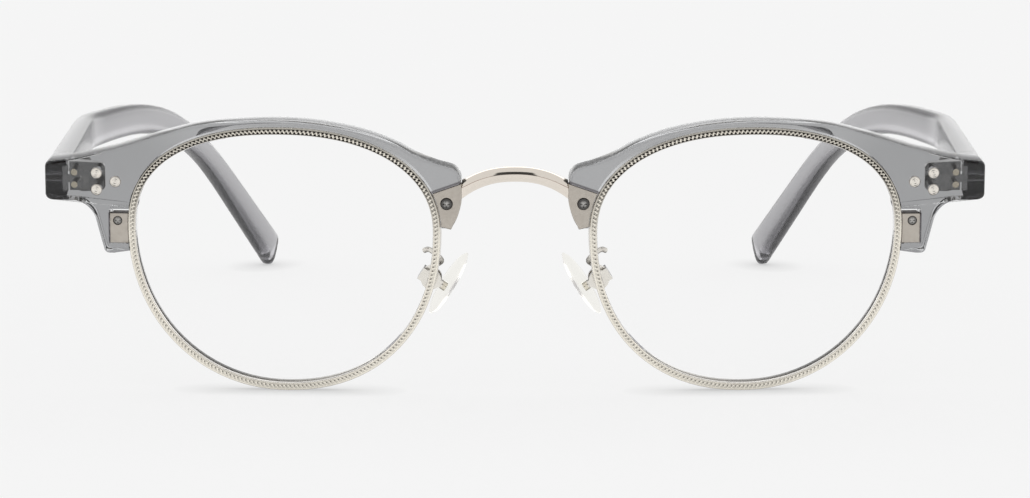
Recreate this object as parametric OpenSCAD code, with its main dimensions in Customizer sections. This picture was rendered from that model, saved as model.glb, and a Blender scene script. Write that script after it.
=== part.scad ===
// Browline eyeglasses: see-through acetate brows over metal eyewires with beaded trim,
// acetate temples on three-barrel hinges, and clear nose pads that rock on their arms.
// Millimetres. +Z is up, the front faces -Y and the temples run towards +Y. The glasses stand
// on their eyewires and temple tips. Left is the wearer's left, at +X; the right is its mirror.
// A half of the front is drawn flat, as [out from the middle, back, up], and then leaned.

/* [Lens opening] */
// Distance between the two lens openings
opening_gap = 25.1; // [23:0.1:28]
// Width of a lens opening
opening_w = 45.6; // [43:0.1:48]
// Height of the opening above its widest level
opening_up = 14.9; // [13.5:0.1:16.5]
// Depth of the opening below its widest level
opening_down = 24.3; // [22:0.1:26]
// Fullness of the upper outer corner, where 2 is an ellipse
full_up_out = 2.4; // [2:0.05:2.8]
// Fullness of the upper nose corner
full_up_in = 2.2; // [2:0.05:2.8]
// Fullness of the lower outer corner
full_down_out = 2.05; // [2:0.05:2.8]
// Fullness of the lower nose corner
full_down_in = 2.2; // [2:0.05:2.8]

/* [Eyewire and lens] */
// Width of the eyewire seen from the front
wire_w = 1.2; // [1:0.05:1.6]
// Depth of the eyewire from front to back
wire_t = 2; // [1.8:0.1:2.6]
// Depth of the groove that holds the lens
groove = 0.45; // [0.3:0.05:0.6]
// Height of the beaded trim above the eyewire's face
bead_h = 0.22; // [0.1:0.02:0.3]
// Number of beads round one eyewire
bead_count = 220; // [160:1:230]
// Thickness of a lens
lens_t = 1.6; // [1.2:0.1:2]
// Radius of the lens's curve
lens_curve = 260; // [220:5:400]

/* [Front] */
// Length of an end piece beyond the lens opening
end_reach = 13.85; // [12.5:0.05:15.5]
// Thickness of the brows
brow_t = 3.5; // [3.2:0.1:4]
// Thickness of the brows at the hinges
end_t = 4.2; // [3.8:0.1:5]
// Height of an end piece
end_h = 5.9; // [5.5:0.1:6.6]
// Height of the end piece's middle above the opening's widest level
end_rise = 7.15; // [6.6:0.05:7.7]
// How far the front leans forward at its top, in degrees
front_lean = 7; // [4:0.5:10]
// How far each half wraps back at its outer end, in degrees
front_wrap = 4; // [2:0.5:6]
// Rounding of the brow's polished outer edges
brow_round = 0.5; // [0.3:0.05:0.5]

/* [Bridge] */
// Distance between the two bridge plates
bridge_span = 16.3; // [15:0.1:17]
// Rise of the bridge's arch over its ends
bridge_arch = 2.65; // [1:0.05:3.2]
// Thickness of the bridge bar
bar_d = 2.4; // [1.8:0.1:2.6]
// Thickness of the bridge plates
plate_t = 1.2; // [0.9:0.1:1.5]

/* [Closing block] */
// Width of the block beside the eyewire
block_w = 2.75; // [2.4:0.05:3.2]
// Height of the block
block_h = 4.65; // [4.2:0.05:5]
// Thickness of each of its two tabs
tab_t = 1.1; // [0.9:0.1:1.3]

/* [Hinge] */
// Height of the three barrels together
hinge_h = 3.7; // [3.3:0.1:4]
// Radius of the barrels
barrel_r = 1.3; // [1.1:0.05:1.5]
// Thickness of the leaves
leaf_t = 0.8; // [0.6:0.05:1]
// Length of the front leaf
front_leaf = 5.4; // [5.2:0.1:5.8]
// Length of the temple leaf behind the hinge
temple_leaf = 11; // [9:0.5:14]
// Distance from the temple's inner face to the hinge axis
hinge_offset = 2.4; // [1.9:0.05:2.5]
// Radius of the rivet shanks
rivet_r = 0.55; // [0.45:0.05:0.6]
// Radius of the rivet heads
rivet_head = 0.87; // [0.75:0.01:0.95]

/* [Temple] */
// Length of the temple along its middle line
temple_len = 147.2; // [140:0.2:152]
// Thickness of the temple at the hinge
temple_t = 3.4; // [3.1:0.1:3.7]
// Least thickness of the temple, behind the ear
waist_t = 2.7; // [2.5:0.1:3.2]
// Thickness of the temple at its tip
tip_t = 2.8; // [2.6:0.1:3.4]
// Height of the temple at the hinge
temple_h = 5.7; // [5.3:0.1:6.2]
// Least height of the temple, behind the ear
waist_h = 4.3; // [4:0.1:5.2]
// Height of the temple at its tip
tip_h = 6.1; // [5.6:0.1:6.8]
// How far the temple drops behind the ear, in degrees
ear_drop = 34; // [28:0.5:38]
// How far the temple turns in towards the head, in degrees
ear_inset = 17.6; // [14:0.1:19]

/* [Nose pads] */
// Length of a pad
pad_len = 11.2; // [10:0.1:12.5]
// Width of a pad
pad_w = 6.8; // [6:0.1:7.6]
// Thickness of a pad
pad_t = 1.6; // [1.3:0.1:1.9]
// Radius of the pad arm's wire
arm_r = 0.42; // [0.35:0.01:0.5]
// Radius of the box that holds the pad
box_r = 1.55; // [1.4:0.05:1.7]
// Splay of the pads from front to back, in degrees
pad_splay = 12; // [6:1:18]
// Slant of the pads from top to bottom, in degrees
pad_slant = 32; // [28:1:36]

/* [Hidden] */
$fn = 48;

// Gap between pieces that are seated in each other
fit = 0.04;
// Gap drawn between pieces that are brazed together
seam = 0.02;
// Gap round a pin that turns, and between faces that slide
run = 0.06;
// Gap between the temple's end and the brow
butt = 0.15;

// Lens opening: middle of its widest level, and its outline as a radius at an angle
lens_u = (opening_gap + opening_w) / 2;
level = wire_w + opening_down;
function opening_r(a) =
    let (c = cos(a), s = sin(a))
    let (reach = s >= 0 ? opening_up : opening_down)
    let (full = s >= 0 ? (c >= 0 ? full_up_out : full_up_in)
                       : (c >= 0 ? full_down_out : full_down_in))
    pow(pow(abs(c) * 2 / opening_w, full) + pow(abs(s) / reach, full), -1 / full);
function rim_pt(a, grow) =
    [lens_u + (opening_r(a) + grow) * cos(a), level + (opening_r(a) + grow) * sin(a)];

// Angles of equal steps along the outline, from the running length at each degree
outline_len = [
    for (a = 0, sum = 0; a <= 360;
         sum = sum + norm(rim_pt(a + 1, 0) - rim_pt(a, 0)), a = a + 1) [sum, a]
];
function even_angles(n) = [for (i = [0:n - 1]) lookup(outline_len[360][0] * i / n, outline_len)];
ring_angles = even_angles(90);
function outline(grow) = [for (a = ring_angles) rim_pt(a, grow)];

// The front stands on the lowest edge of its eyewires
wire_edge = 0.1;
lift = -(lens_u * sin(front_wrap) + wire_edge) * sin(front_lean);

// Brow: where it ends at the temple, at the nose and at its foot
end_u = lens_u + opening_w / 2 + end_reach;
end_mid = level + end_rise;
end_low = end_mid - end_h / 2;
end_high = end_mid + end_h / 2;
bridge_half = bridge_span / 2;
nose_reach = lens_u - opening_w / 2 - bridge_half;
window_u = lens_u + opening_w / 2 + wire_w + block_w + 2 * fit;
window_low = level - 0.56 * block_h;
window_high = window_low + block_h + 0.8;
foot_low = window_low - 1.55;
brow_fit = wire_w + fit;
brow_lip = 0.5;
// Height of the brow above the eyewire, at angles from the outer end to the nose
brow_rise = [[24, 6.45], [30, 4.3], [37, 3], [50, 1.95], [68, 1.15], [90, 0.97],
             [110, 0.93], [128, 1.2], [141, 1.6], [148.5, 0.44 * nose_reach],
             [153, 0.62 * nose_reach], [156.4, 0.87 * nose_reach]];
plate_top = level + 0.52 * opening_up;
plate_low = level + 0.25;

// Bridge plate: its outline beside the eyewire, and the middle of its screw
plate_rim = wire_w + 0.12;
plate_in = rim_pt(165, plate_rim);
plate_out = [bridge_half + seam, plate_top];
plate_along = (plate_out - plate_in) / norm(plate_out - plate_in);
plate_screw = [bridge_half + 0.52 * nose_reach, plate_top - 3.2];

// Hinge: its axis stands upright, behind the brow and inboard of the temple
function to_front(p) =
    let (back = p[0] * sin(front_wrap) + p[1] * cos(front_wrap))
    [p[0] * cos(front_wrap) - p[1] * sin(front_wrap),
     back * cos(front_lean) - p[2] * sin(front_lean),
     back * sin(front_lean) + p[2] * cos(front_lean) + lift];
function back_y(x, z, v) =
    (v + sin(front_wrap) * x - cos(front_wrap) * sin(front_lean) * (z - lift))
    / (cos(front_wrap) * cos(front_lean));
temple_x = to_front([end_u, 0, end_mid])[0] - temple_t / 2;
hinge_z = to_front([end_u, end_t, end_mid])[2] - 0.5;
hinge_x = temple_x - temple_t / 2 - hinge_offset;
hinge_y = back_y(hinge_x, hinge_z, end_t + leaf_t) + barrel_r + 0.25;
barrel_h = (hinge_h - 2 * run) / 3;
leaf_h = hinge_h + 0.6;
leaf_round = 0.8;
temple_rivet_at = [0.33 * temple_leaf, 0.78 * temple_leaf];
leaf_out = end_u - temple_t - 0.1;
leaf_in = leaf_out - front_leaf;
rivet_u = leaf_in + 0.95;
rivet_w = 1.3;
lone_u = rivet_u - 2.9;
pin_u = leaf_out - 0.85;
pin_w = 0.95;
pin_r = 0.5;
hinge_pin = 0.55;

// Closing block: two tabs side by side from front to back, drawn together by one screw
block_u = window_u - block_w - fit;
tab_v = 0.3;
block_v = tab_v + tab_t + 0.05;
closing_u = window_u - 1.25;
closing_w = window_low + block_h - 1.1;

// Temple: turn, drop and height along its middle line
function ease(x) = let (c = min(1, max(0, x))) c * c * (3 - 2 * c);
turn_at = 0.315 * temple_len;
turn_len = 0.075 * temple_len;
tip_round = 0.43 * tip_t;
waist_at = 0.72 * temple_len;
function temple_yaw(s) = ear_inset * ease((s - turn_at) / turn_len);
function temple_pitch(s) = ear_drop * ease((s / temple_len - 0.384) / 0.453);
function temple_dir(s) =
    let (a = temple_yaw(s), b = temple_pitch(s)) [-sin(a) * cos(b), cos(a) * cos(b), -sin(b)];
temple_stops = concat(
    [0, 0.03 * turn_at],
    [for (i = [1:4]) turn_at * i / 5],
    [for (i = [0:7]) turn_at + turn_len * i / 7],
    [for (i = [1:21]) turn_at + turn_len + (temple_len - turn_at - turn_len - tip_round) * i / 21],
    [for (f = [0.6, 0.25, 0.05]) temple_len - f * tip_round]
);
temple_line = [
    for (i = 0, p = [0, 0, 0]; i < len(temple_stops);
         p = i + 1 < len(temple_stops)
             ? p + temple_dir((temple_stops[i] + temple_stops[i + 1]) / 2)
                   * (temple_stops[i + 1] - temple_stops[i])
             : p,
         i = i + 1) p
];
function corner(c, full) = sign(c) * pow(abs(c), 2 / full);
function temple_row(i) =
    let (s = temple_stops[i], a = temple_yaw(s), b = temple_pitch(s))
    let (shrink = sqrt(1 - pow(max(0, 1 - (temple_len - s) / tip_round), 2.4)))
    let (wide = lookup(s, [[0, temple_t], [waist_at, waist_t], [temple_len, tip_t]]))
    let (tall = lookup(s, [[0, temple_h], [turn_at, temple_h], [waist_at, waist_h], [temple_len, tip_h]]))
    let (full = lookup(s, [[0, 5.5], [turn_at, 4], [temple_len, 3.2]]))
    let (side = [cos(a), sin(a), 0], up = [-sin(a) * sin(b), cos(a) * sin(b), cos(b)])
    let (deep = wide / 2 * (0.5 + 0.5 * shrink), high = tall / 2 * (0.78 + 0.22 * shrink))
    [for (k = [0:18:342]) temple_line[i] - side * deep * corner(cos(k), full)
                          + up * high * corner(sin(k), full)];
temple_rows = [for (i = [0:len(temple_stops) - 1]) temple_row(i)];
// The temple is tilted until its tip meets the table that the eyewires stand on
function tilt_to_table(p) = asin(-hinge_z / norm([p[1], p[2]])) - atan2(p[2], p[1]);
temple_tilt = max([
    for (i = [len(temple_rows) - 9:len(temple_rows) - 1], p = temple_rows[i]) tilt_to_table(p)
]);
temple_y = back_y(temple_x, hinge_z, end_t + butt);
function on_hinge(p) =
    [temple_x + p[0], temple_y + p[1] * cos(temple_tilt) - p[2] * sin(temple_tilt),
     hinge_z + p[1] * sin(temple_tilt) + p[2] * cos(temple_tilt)];
temple_skin = [
    for (i = [0:len(temple_rows) - 1])
        [for (p = temple_rows[i])
            let (q = on_hinge(p))
            i == 0 ? [q[0], back_y(q[0], q[2], end_t + butt), q[2]] : q]
];
temple_back = max([for (r = temple_skin, p = r) p[1]]);

// Bridge bar: slices across its arch, each turned to meet the wrapped plates at the ends
bar_ends = plate_top - bar_d / 2 + 0.05;
bar_v = 1.25;
bar_forward = 0.5;
bar_end = [bridge_half * cos(front_wrap) - bar_v * sin(front_wrap),
           bridge_half * sin(front_wrap) + bar_v * cos(front_wrap)];
function bar_row(i, steps) =
    let (t = 2 * i / steps - 1, turn = front_wrap * t)
    let (slope = atan(2.3 * bridge_arch * pow(abs(t), 1.3) / bridge_half))
    let (w = bar_ends + bridge_arch * (1 - pow(abs(t), 2.3)))
    let (v = (bar_v - bar_forward) * (1 - t * t) + bar_end[1] * t * t)
    [for (k = [0:22.5:337.5])
        let (d = bar_d / 2 * cos(k), h = bar_d / 2 * sin(k) / cos(slope))
        [bar_end[0] * t - d * sin(turn), v + d * cos(turn), w + h]];
bar_rows = [for (i = [0:18]) bar_row(i, 18)];
// The origin is below the middle of the whole, so everything moves forward by this much
bar_front = min([for (r = bar_rows, p = r) p[1] * cos(front_lean) - p[2] * sin(front_lean)]);
middle_y = (temple_back + bar_front) / 2;

// Nose pads: the box behind the eyewire, and the pad's own direction
box_u = lens_u - opening_w / 2 + 0.75;
box_v = 6.1;
box_w = level - 0.364 * opening_down;
box_gap = 0.9;
ear_t = 0.6;
pad_off = 2.6;
pad_up = 0.8;
pad_pin = 0.5;

// Joins a row of sections into one closed solid. Each is a loop of points that turns like a
// right-handed screw on its way along the row.
module skin(rows, ring = false) {
    n = len(rows);
    m = len(rows[0]);
    sides = [
        for (i = [0:(ring ? n : n - 1) - 1], j = [0:m - 1], half = [0, 1])
            let (a = i * m + j, b = i * m + (j + 1) % m)
            let (c = ((i + 1) % n) * m + (j + 1) % m, d = ((i + 1) % n) * m + j)
            half == 0 ? [a, c, b] : [a, d, c]
    ];
    ends = ring ? [] : [[for (j = [0:m - 1]) j], [for (j = [m - 1:-1:0]) (n - 1) * m + j]];
    polyhedron([for (r = rows, p = r) p], concat(sides, ends), convexity = 10);
}

// Points round a corner b between a and c, at radius r
function fillet(a, b, c, r, n) =
    let (p = (a - b) / norm(a - b), q = (c - b) / norm(c - b))
    let (half = acos(p * q) / 2, mid = (p + q) / norm(p + q))
    let (o = b + mid * r / sin(half), s = b + p * r / tan(half), e = b + q * r / tan(half))
    [for (i = [0:n])
        let (m = s + (e - s) * i / n)
        o + (m - o) / norm(m - o) * r];

// Smooth curve through the points, with steps between each two
function curve(pts, steps) = [
    for (i = [0:len(pts) - 2], k = [0:steps - 1])
        let (a = pts[max(0, i - 1)], b = pts[i], c = pts[i + 1], d = pts[min(len(pts) - 1, i + 2)])
        let (t = k / steps)
        (b * 2 + (c - a) * t + (a * 2 - b * 5 + c * 4 - d) * t * t
         + (b * 3 - a - c * 3 + d) * t * t * t) / 2
];

// A half of the front, drawn flat, is wrapped and leaned into place
module front_half() {
    translate([0, -middle_y, lift])
        rotate([front_lean, 0, 0]) rotate([0, 0, front_wrap]) children();
}

// What stands upright behind the front only moves with the origin
module upright() {
    translate([0, -middle_y, 0]) children();
}

// A cylinder from front to back through the flat half
module across(u, w, from, to, r) {
    translate([u, from, w]) rotate([-90, 0, 0]) cylinder(h = to - from, r = r);
}

// A flat outline given as [out, up] points, from front to back
module slab(from, to) {
    translate([0, to, 0]) rotate([90, 0, 0]) linear_extrude(to - from) children();
}

// Outline of a bridge plate: along the eyewire, the top, and the curved side towards the nose
plate_side = [for (p = [[0, 2.4], [0.1, 3.35], [0.45, 4.75], [0.95, 6], [1.45, 6.8]])
    plate_out + [p[0] * nose_reach / 4.4, -p[1]]];
plate_outline = concat(
    [for (a = [178:-2.6:165]) rim_pt(a, plate_rim)], [plate_out], curve(plate_side, 3),
    [[plate_out[0] + 0.36 * nose_reach, plate_low + 0.25]]
);
// Pocket for it in the brow, open towards the rim and the nose
pocket_lift = [-plate_along[1], plate_along[0]];
plate_pocket = concat(
    [for (a = [184:-3:166]) rim_pt(a, wire_w - 0.3)],
    [plate_in - plate_along * 0.6 - pocket_lift * fit, plate_out + plate_along * 3 - pocket_lift * fit,
     [bridge_half - 3, plate_low - 3]]
);

// Outer outline of the brow, from its foot round the end piece and over the lens to the nose
function angle_of(p) = atan2(p[1] - level, p[0] - lens_u);
// Points added so that no step along the outline turns more than 3 degrees about the lens
function even_out(pts) = concat(
    [for (i = [0:len(pts) - 2])
        let (n = ceil(abs(angle_of(pts[i + 1]) - angle_of(pts[i])) / 3))
        for (k = [0:max(1, n) - 1]) pts[i] + (pts[i + 1] - pts[i]) * k / max(1, n)],
    [pts[len(pts) - 1]]
);
foot_corner = [window_u + 0.8, foot_low];
leg_corner = [window_u + 2.9, end_low];
low_corner = [end_u, end_low];
high_corner = [end_u, end_high];
brow_top = [for (h = brow_rise) rim_pt(h[0], wire_w + h[1])];
shoulder = [end_u - 4.6, end_high + 0.6];
nose_corner = [bridge_half + 0.1, plate_top + 2.1];
nose_low = [bridge_half + 0.3, plate_top - 3];
tail_corner = [bridge_half + 0.37 * nose_reach, plate_low + 0.45];
tail_end = [lens_u - opening_w / 2 - wire_w - 0.45, plate_low + 0.1];
brow_outer = even_out(concat(
    [[window_u - 0.2, foot_low]],
    fillet([window_u, foot_low], foot_corner, leg_corner, 0.7, 4),
    fillet(foot_corner, leg_corner, low_corner, 4.2, 9),
    fillet(leg_corner, low_corner, high_corner, 0.8, 5),
    [[end_u, end_mid - 1], [end_u, end_mid + 1]],
    fillet(low_corner, high_corner, shoulder, 0.9, 5),
    curve(concat([shoulder], brow_top), 4),
    fillet(brow_top[len(brow_top) - 1], nose_corner, nose_low, 2.3, 9),
    [nose_low],
    fillet(nose_low, tail_corner, tail_end, 0.5, 3),
    [tail_end]
));
// Angle of each section about the lens: it always grows, so that no two sections cross
brow_turns = [
    for (i = 0, a = angle_of(brow_outer[0]); i < len(brow_outer);
         a = i + 1 < len(brow_outer) ? max(a + 0.15, angle_of(brow_outer[i + 1])) : a,
         i = i + 1) a
];
function thick_at(u) =
    brow_t + (end_t - brow_t) * ease((u - lens_u - 0.31 * opening_w) / (0.24 * opening_w));
// Section of the brow at one point of its outline: it steps behind the eyewire on its inner side
function brow_row(p, a) =
    let (q = rim_pt(a, brow_fit), lip = rim_pt(a, brow_lip))
    let (t = thick_at(p[0]), in = (q - p) / norm(q - p))
    let (r = min(brow_round, norm(q - p) * 0.45), v = wire_t + fit)
    concat(
        [[q[0], 0, q[1]]],
        [for (k = [0:22.5:90])
            let (e = p + in * r * (1 - sin(k))) [e[0], r * (1 - cos(k)), e[1]]],
        [for (k = [90:22.5:180])
            let (e = p + in * r * (1 - sin(k))) [e[0], t - r * (1 + cos(k)), e[1]]],
        [[lip[0], t, lip[1]], [lip[0], v, lip[1]], [q[0], v, q[1]]]
    );

module brow() {
    color([0.52, 0.53, 0.55, 0.8])
    front_half()
    difference() {
        skin([for (i = [0:len(brow_outer) - 1]) brow_row(brow_outer[i], brow_turns[i])]);
        // Window for the closing block
        translate([window_u - block_w - wire_w - 2, -1, window_low])
            cube([block_w + wire_w + 2, end_t + 2, window_high - window_low]);
        // Pocket for the bridge plate, open towards the nose
        slab(-1, plate_t + fit) polygon(plate_pocket);
        // Rivets, anchor pins and screws
        for (s = [-1, 1]) {
            across(rivet_u, end_mid + s * rivet_w, -1, end_t + 1, rivet_r + fit);
            across(rivet_u, end_mid + s * rivet_w, -1, 0.25, rivet_head + fit);
            across(pin_u, end_mid + s * pin_w, end_t - 2.2, end_t + 1, pin_r + fit);
        }
        across(lone_u, end_mid, -1, 2.2, rivet_r + fit);
        across(lone_u, end_mid, -1, 0.25, rivet_head + fit);
        across(plate_screw[0], plate_screw[1], 0, brow_t - 0.5, 0.5 + fit);
    }
}

module eyewire() {
    profile = [
        [0, wire_edge], [wire_edge, 0], [wire_w - wire_edge, 0], [wire_w, wire_edge],
        [wire_w, wire_t], [0, wire_t],
        [0, wire_t / 2 + groove], [groove, wire_t / 2], [0, wire_t / 2 - groove]
    ];
    color([0.8, 0.78, 0.74])
    front_half()
    difference() {
        skin([for (a = ring_angles)
            [for (p = profile) let (q = rim_pt(a, p[0])) [q[0], p[1], q[1]]]], ring = true);
        // The cut that lets the lens in, drawn shut by the closing block
        translate([lens_u + opening_w / 2 - 1, -1, level - 0.7])
            cube([wire_w + 2, wire_t + 2, 0.12]);
    }
}

// Trim of overlapping beads: a ridge that swings from side to side, once for each bead
module beaded_trim() {
    angles = even_angles(2 * bead_count);
    side = 0.12;
    color([0.84, 0.81, 0.75])
    front_half()
    skin([for (i = [0:2 * bead_count - 1])
        let (swing = i % 2 == 0 ? 0.32 : 0.68)
        let (a = rim_pt(angles[i], side), b = rim_pt(angles[i], wire_w * swing))
        let (c = rim_pt(angles[i], wire_w - side))
        [[a[0], 0, a[1]], [b[0], -bead_h, b[1]], [c[0], 0, c[1]]]], ring = true);
}

module lens() {
    rim_v = wire_t / 2;
    half = opening_w / 2;
    sag = lens_curve - sqrt(lens_curve * lens_curve - half * half);
    middle_w = level + (opening_up - opening_down) / 2;
    apex = rim_v - sag - lens_t / 2;
    color([0.86, 0.9, 0.93, 0.3])
    front_half()
    union() {
        // Clear glass between two curved faces
        intersection() {
            slab(-3, 4) polygon(outline(-fit));
            translate([lens_u, apex + lens_curve, middle_w])
            difference() {
                sphere(lens_curve, $fn = 180);
                sphere(lens_curve - lens_t, $fn = 180);
            }
        }
        // Edge that sits in the eyewire's groove
        slab(rim_v - 0.1, rim_v + 0.1)
            difference() {
                polygon(outline(groove - 0.14));
                polygon(outline(-0.8));
            }
    }
}

// Front tab, on the eyewire's lower end
module closing_tab() {
    color([0.72, 0.69, 0.63])
    front_half()
    difference() {
        slab(tab_v, tab_v + tab_t) polygon(block_outline(0));
        across(closing_u, closing_w, tab_v - 1, tab_v + 3, 0.42 + fit);
        across(closing_u, closing_w, tab_v - 1, tab_v + 0.4, 0.65 + fit);
    }
}

// Rear tab, on the eyewire's upper end
module closing_block() {
    color([0.7, 0.68, 0.64])
    front_half()
    difference() {
        slab(block_v, block_v + tab_t + 0.6) polygon(block_outline(0.2));
        across(closing_u, closing_w, block_v - 1, block_v + 1.4, 0.42 + fit);
    }
}

// Outline of a tab, from the eyewire's outer edge to the window's side
function block_outline(inset) = concat(
    [for (w = [0:4])
        let (z = window_low + fit + inset + (block_h - 2 * inset) * w / 4)
        rim_pt(asin((z - level) / (opening_w / 2 + wire_w)), wire_w + fit)],
    [[window_u - fit - inset, window_low + fit + block_h - inset],
     [window_u - fit - inset, window_low + fit + inset]]
);

// Cross for the screwdriver in a screw's head
module cross_recess(u, v, w, size) {
    translate([u - size / 2, v, w - size / 8]) cube([size, 0.35, size / 4]);
    translate([u - size / 8, v, w - size / 2]) cube([size / 4, 0.35, size]);
}

module closing_screw() {
    color([0.35, 0.34, 0.33])
    front_half()
    difference() {
        union() {
            across(closing_u, closing_w, tab_v + 0.05, tab_v + 0.4, 0.65);
            across(closing_u, closing_w, tab_v + 0.3, block_v + 1.3, 0.42);
        }
        cross_recess(closing_u, tab_v - 0.1, closing_w, 0.8);
    }
}

module bridge() {
    color([0.83, 0.81, 0.78])
    translate([0, -middle_y, lift]) rotate([front_lean, 0, 0]) skin(bar_rows);
}

module bridge_plate() {
    color([0.66, 0.63, 0.58])
    front_half()
    difference() {
        slab(-0.05, plate_t) polygon(plate_outline);
        across(plate_screw[0], plate_screw[1], -1, 3, 0.5 + fit);
        across(plate_screw[0], plate_screw[1], -1, 0.35, 0.85 + fit);
    }
}

module bridge_screw() {
    color([0.42, 0.41, 0.4])
    front_half()
    difference() {
        union() {
            across(plate_screw[0], plate_screw[1], -0.2, 0.35, 0.85);
            across(plate_screw[0], plate_screw[1], 0.3, brow_t - 0.6, 0.5);
        }
        cross_recess(plate_screw[0], -0.3, plate_screw[1], 1.05);
    }
}

// Places one of the three barrels, counted from the bottom, and its turning bore
module barrel(k) {
    translate([hinge_x, hinge_y, hinge_z - hinge_h / 2 + k * (barrel_h + run)])
        cylinder(h = barrel_h, r = barrel_r);
}

module hinge_bore(grow) {
    translate([hinge_x, hinge_y, hinge_z - hinge_h]) cylinder(h = 2 * hinge_h, r = hinge_pin + grow);
}

// Outline of the front leaf, rounded at its inner end
leaf_corners = [for (p = [[leaf_out, -1], [leaf_in, -1], [leaf_in, 1], [leaf_out, 1]])
    [p[0], end_mid + p[1] * leaf_h / 2]];
leaf_outline = concat(
    [leaf_corners[0]],
    fillet(leaf_corners[0], leaf_corners[1], leaf_corners[2], leaf_round, 5),
    fillet(leaf_corners[1], leaf_corners[2], leaf_corners[3], leaf_round, 5),
    [leaf_corners[3]]
);

module front_hinge() {
    color([0.62, 0.6, 0.57])
    difference() {
        union() {
            front_half()
            difference() {
                slab(end_t, end_t + leaf_t) polygon(leaf_outline);
                for (s = [-1, 1]) {
                    across(rivet_u, end_mid + s * rivet_w, end_t - 1, end_t + 3, rivet_r + fit);
                    across(pin_u, end_mid + s * pin_w, end_t - 1, end_t + 3, pin_r + fit);
                }
            }
            upright()
            for (k = [0, 2]) {
                barrel(k);
                translate([hinge_x - barrel_r, hinge_y - barrel_r - 0.6,
                           hinge_z - hinge_h / 2 + k * (barrel_h + run)])
                    cube([1.35 * barrel_r, barrel_r + 0.6, barrel_h]);
            }
        }
        upright() hinge_bore(fit);
    }
}

module hinge_rivets() {
    color([0.82, 0.79, 0.73])
    front_half()
    for (s = [-1, 1]) {
        across(rivet_u, end_mid + s * rivet_w, -0.12, 0.25, rivet_head);
        across(rivet_u, end_mid + s * rivet_w, 0.2, end_t + leaf_t + 0.3, rivet_r);
    }
}

module anchor_pins() {
    color([0.72, 0.63, 0.48])
    front_half()
    for (s = [-1, 1]) across(pin_u, end_mid + s * pin_w, end_t - 2.1, end_t + leaf_t - 0.1, pin_r);
}

module brow_rivet() {
    color([0.82, 0.79, 0.73])
    front_half() {
        across(lone_u, end_mid, -0.12, 0.25, rivet_head);
        across(lone_u, end_mid, 0.2, 2.1, rivet_r);
    }
}

module hinge_screw() {
    top = hinge_z + hinge_h / 2;
    color([0.4, 0.39, 0.38])
    upright()
    difference() {
        union() {
            translate([hinge_x, hinge_y, hinge_z - hinge_h / 2 - 0.2])
                cylinder(h = hinge_h + 0.4, r = hinge_pin);
            translate([hinge_x, hinge_y, top + 0.02]) cylinder(h = 0.45, r = barrel_r - 0.2);
        }
        translate([hinge_x - 2, hinge_y - 0.13, top + 0.22]) cube([4, 0.26, 1]);
    }
}

module temple_hinge() {
    plate_x = temple_x - temple_t / 2 - 0.1;
    low = hinge_z - hinge_h / 2;
    color([0.62, 0.6, 0.57])
    upright()
    difference() {
        union() {
            barrel(1);
            translate([hinge_x, hinge_y - barrel_r + 0.2, low + barrel_h + run])
                cube([plate_x - hinge_x + 0.3, 2 * barrel_r - 0.2, barrel_h]);
            translate([plate_x, hinge_y - 0.9, low])
                cube([leaf_t, temple_leaf + 0.9, hinge_h]);
        }
        hinge_bore(run);
        for (y = temple_rivet_at)
            translate([plate_x - 1, hinge_y + y, hinge_z])
                rotate([0, 90, 0]) cylinder(h = 3, r = rivet_r + fit);
    }
}

module temple_rivets() {
    color([0.82, 0.79, 0.73])
    upright()
    for (y = temple_rivet_at)
        translate([0, hinge_y + y, hinge_z]) {
            translate([temple_x - temple_t / 2 - 0.25, 0, 0])
                rotate([0, 90, 0]) cylinder(h = temple_t + 0.2, r = rivet_r);
            translate([temple_x + temple_t / 2 - 0.28, 0, 0])
                rotate([0, 90, 0]) cylinder(h = 0.33, r = rivet_head);
        }
}

module temple() {
    color([0.52, 0.53, 0.55, 0.8])
    upright()
    difference() {
        skin(temple_skin);
        // Pocket for the hinge leaf in the inner face
        translate([temple_x - temple_t / 2 - 1, hinge_y - 6, hinge_z - hinge_h / 2 - fit])
            cube([0.9 + leaf_t + fit, temple_leaf + 6 + fit, hinge_h + 2 * fit]);
        for (y = temple_rivet_at)
            translate([temple_x - temple_t, hinge_y + y, hinge_z]) {
                rotate([0, 90, 0]) cylinder(h = 2 * temple_t, r = rivet_r + fit);
                translate([1.5 * temple_t - 0.28 - fit, 0, 0])
                    rotate([0, 90, 0]) cylinder(h = 2, r = rivet_head + fit);
            }
    }
}

// Pad arm: a wire from the back of the eyewire, curled past its foot, down to the box
arm_path = curve([
    [box_u + 0.9, wire_t + 1.5, box_w + 5.1], [box_u, wire_t + 1, box_w + 5.35],
    [box_u - 1.3, wire_t + arm_r + seam, box_w + 4.55], [box_u - 1.75, wire_t + 1.6, box_w + 3.4],
    [box_u - 0.6, box_v - 0.9, box_w + 2.3], [box_u + 1.05, box_v, box_w + 1.3]
], 5);
function arm_row(i) =
    let (n = len(arm_path), t = arm_path[min(n - 1, i + 1)] - arm_path[max(0, i - 1)])
    let (d = t / norm(t), e = cross(d, [0.3, 0, 1]), f = e / norm(e), g = cross(d, f))
    [for (k = [0:36:324]) arm_path[i] + f * arm_r * cos(k) + g * arm_r * sin(k)];

module pad_arm() {
    color([0.8, 0.78, 0.74])
    front_half()
    difference() {
        union() {
            skin([for (i = [0:len(arm_path) - 1]) arm_row(i)]);
            for (v = [box_v - box_gap / 2 - ear_t, box_v + box_gap / 2])
                across(box_u, box_w, v, v + ear_t, box_r);
            rotate_box()
                translate([box_r - 0.35, -box_gap / 2 - ear_t, -1])
                    cube([0.7, box_gap + 2 * ear_t, 2]);
        }
        across(box_u, box_w, box_v - 4, box_v + 4, pad_pin + fit);
    }
}

// Turns children into the pad's slant, with the box's screw as their origin
module rotate_box() {
    translate([box_u, box_v, box_w]) rotate([0, -pad_slant, 0]) children();
}

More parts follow.
